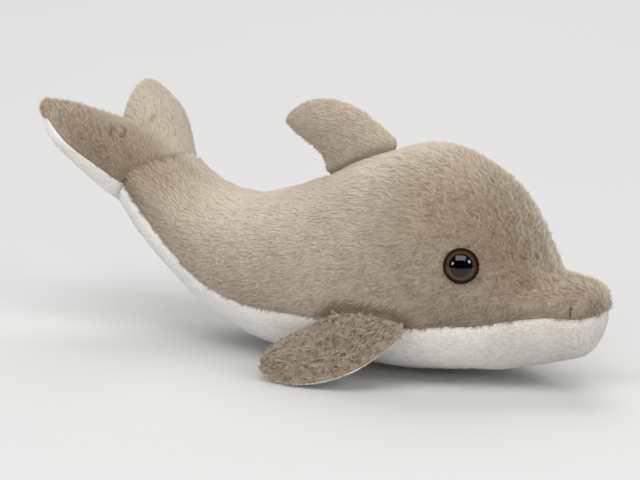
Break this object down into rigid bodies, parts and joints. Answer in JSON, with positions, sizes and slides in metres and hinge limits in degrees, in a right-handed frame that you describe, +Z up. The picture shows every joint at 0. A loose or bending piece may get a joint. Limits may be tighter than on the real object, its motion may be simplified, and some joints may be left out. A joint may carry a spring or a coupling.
{
  "type": "plush dolphin",
  "caption": "Soft sewn dolphin toy with a curved body, fins, flippers, raised tail flukes and glossy safety eyes, made to be held or to rest on its belly.",
  "frame": {"origin": "centre of the bounding box at the floor the belly rests on", "axes": "+X towards the beak, +Y towards the left flipper, +Z up"},
  "size_m": [0.2145, 0.0986, 0.0926],
  "materials": {
    "taupe_plush": "short pile",
    "white_plush": "short pile",
    "fibre_stuffing": "loose fibre",
    "eye_plastic": "polished",
    "washer_plastic": "as moulded"
  },
  "bodies": {
    "root": {"back_panel_right": "taupe_plush", "back_panel_left": "taupe_plush", "belly_panel": "white_plush", "body_stuffing": "fibre_stuffing", "dorsal_fin_right": "taupe_plush", "dorsal_fin_left": "taupe_plush", "dorsal_fin_stuffing": "fibre_stuffing", "flipper_right_top": "taupe_plush", "flipper_right_underside": "white_plush", "flipper_right_stuffing": "fibre_stuffing", "flipper_left_top": "taupe_plush", "flipper_left_underside": "white_plush", "flipper_left_stuffing": "fibre_stuffing", "fluke_top": "taupe_plush", "fluke_underside": "white_plush", "fluke_stuffing": "fibre_stuffing", "eye_right": "eye_plastic", "eye_left": "eye_plastic", "eye_washer_right": "washer_plastic", "eye_washer_left": "washer_plastic"}
  },
  "joints": []
}
